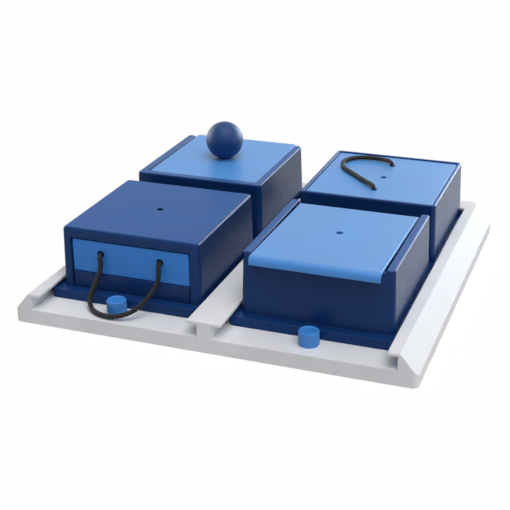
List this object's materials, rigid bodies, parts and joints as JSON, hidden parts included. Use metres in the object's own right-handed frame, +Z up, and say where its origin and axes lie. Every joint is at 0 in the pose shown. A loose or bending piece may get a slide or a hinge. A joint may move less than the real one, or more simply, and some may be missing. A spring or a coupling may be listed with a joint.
{
  "type": "dog puzzle feeder toy",
  "caption": "Tray with two lanes holding sliding treat boxes: a pull drawer, a hinged flap, a sliding lid with a ball knob and a lift-off lid with a rope loop.",
  "frame": {"origin": "on the surface the feet stand on, under the centre of the tray", "axes": "+Z up, +Y from the drawer's front towards the back rail, +X towards the flap box"},
  "size_m": [0.31, 0.31, 0.1001],
  "materials": {
    "tray_white": "satin moulded",
    "box_navy": "satin moulded",
    "lid_blue": "satin moulded",
    "ball_navy": "satin lacquer",
    "rope_black": "braided cord",
    "foot_rubber": "matte",
    "steel": "zinc plated"
  },
  "bodies": {
    "base": {"tray": "tray_white", "foot_front_left": "foot_rubber", "foot_front_right": "foot_rubber", "foot_back_left": "foot_rubber", "foot_back_right": "foot_rubber"},
    "knob_left": {"stop_knob_left": "lid_blue"},
    "knob_right": {"stop_knob_right": "lid_blue"},
    "drawer_box": {"drawer_housing": "box_navy", "drawer_floor": "box_navy"},
    "drawer": {"drawer": "lid_blue", "drawer_rope": "rope_black", "drawer_knot_left": "rope_black", "drawer_knot_right": "rope_black"},
    "flap_box": {"flap_box": "box_navy"},
    "flap": {"flap_lid": "lid_blue", "hinge_pin_left": "steel", "hinge_pin_right": "steel"},
    "slide_box": {"slide_box": "box_navy"},
    "slide_lid": {"slide_lid": "lid_blue", "ball_knob": "ball_navy", "ball_screw": "steel"},
    "rope_box": {"rope_box": "box_navy"},
    "rope_lid": {"rope_lid": "lid_blue", "lid_rope": "rope_black", "lid_knot_front": "rope_black", "lid_knot_back": "rope_black"}
  },
  "joints": [
    {"name": "knob_left_pull", "type": "slide", "parent": "base", "child": "knob_left", "axis": [0, 0, 1], "range_m": [0, 0.0095]},
    {"name": "knob_right_pull", "type": "slide", "parent": "base", "child": "knob_right", "axis": [0, 0, 1], "range_m": [0, 0.0095]},
    {"name": "drawer_box_slide", "type": "slide", "parent": "base", "child": "drawer_box", "axis": [0, 1, 0], "range_m": [-0.0008, 0.0009]},
    {"name": "drawer_pull", "type": "slide", "parent": "drawer_box", "child": "drawer", "axis": [0, -1, 0], "range_m": [0, 0.08]},
    {"name": "flap_box_slide", "type": "slide", "parent": "base", "child": "flap_box", "axis": [0, 1, 0], "range_m": [-0.0008, 0.0009]},
    {"name": "flap_hinge", "type": "hinge", "parent": "flap_box", "child": "flap", "pos_m": [0.073, -0.01425, 0.064], "axis": [-1, 0, 0], "range_deg": [0, 95]},
    {"name": "slide_box_slide", "type": "slide", "parent": "base", "child": "slide_box", "axis": [0, 1, 0], "range_m": [-0.0009, 0.0005]},
    {"name": "slide_lid_pull", "type": "slide", "parent": "slide_box", "child": "slide_lid", "axis": [0, 1, 0], "range_m": [0, 0.085]},
    {"name": "rope_box_slide", "type": "slide", "parent": "base", "child": "rope_box", "axis": [0, 1, 0], "range_m": [-0.0009, 0.0005]},
    {"name": "rope_lid_lift", "type": "slide", "parent": "rope_box", "child": "rope_lid", "axis": [0, 0, 1], "range_m": [0, 0.06]}
  ]
}
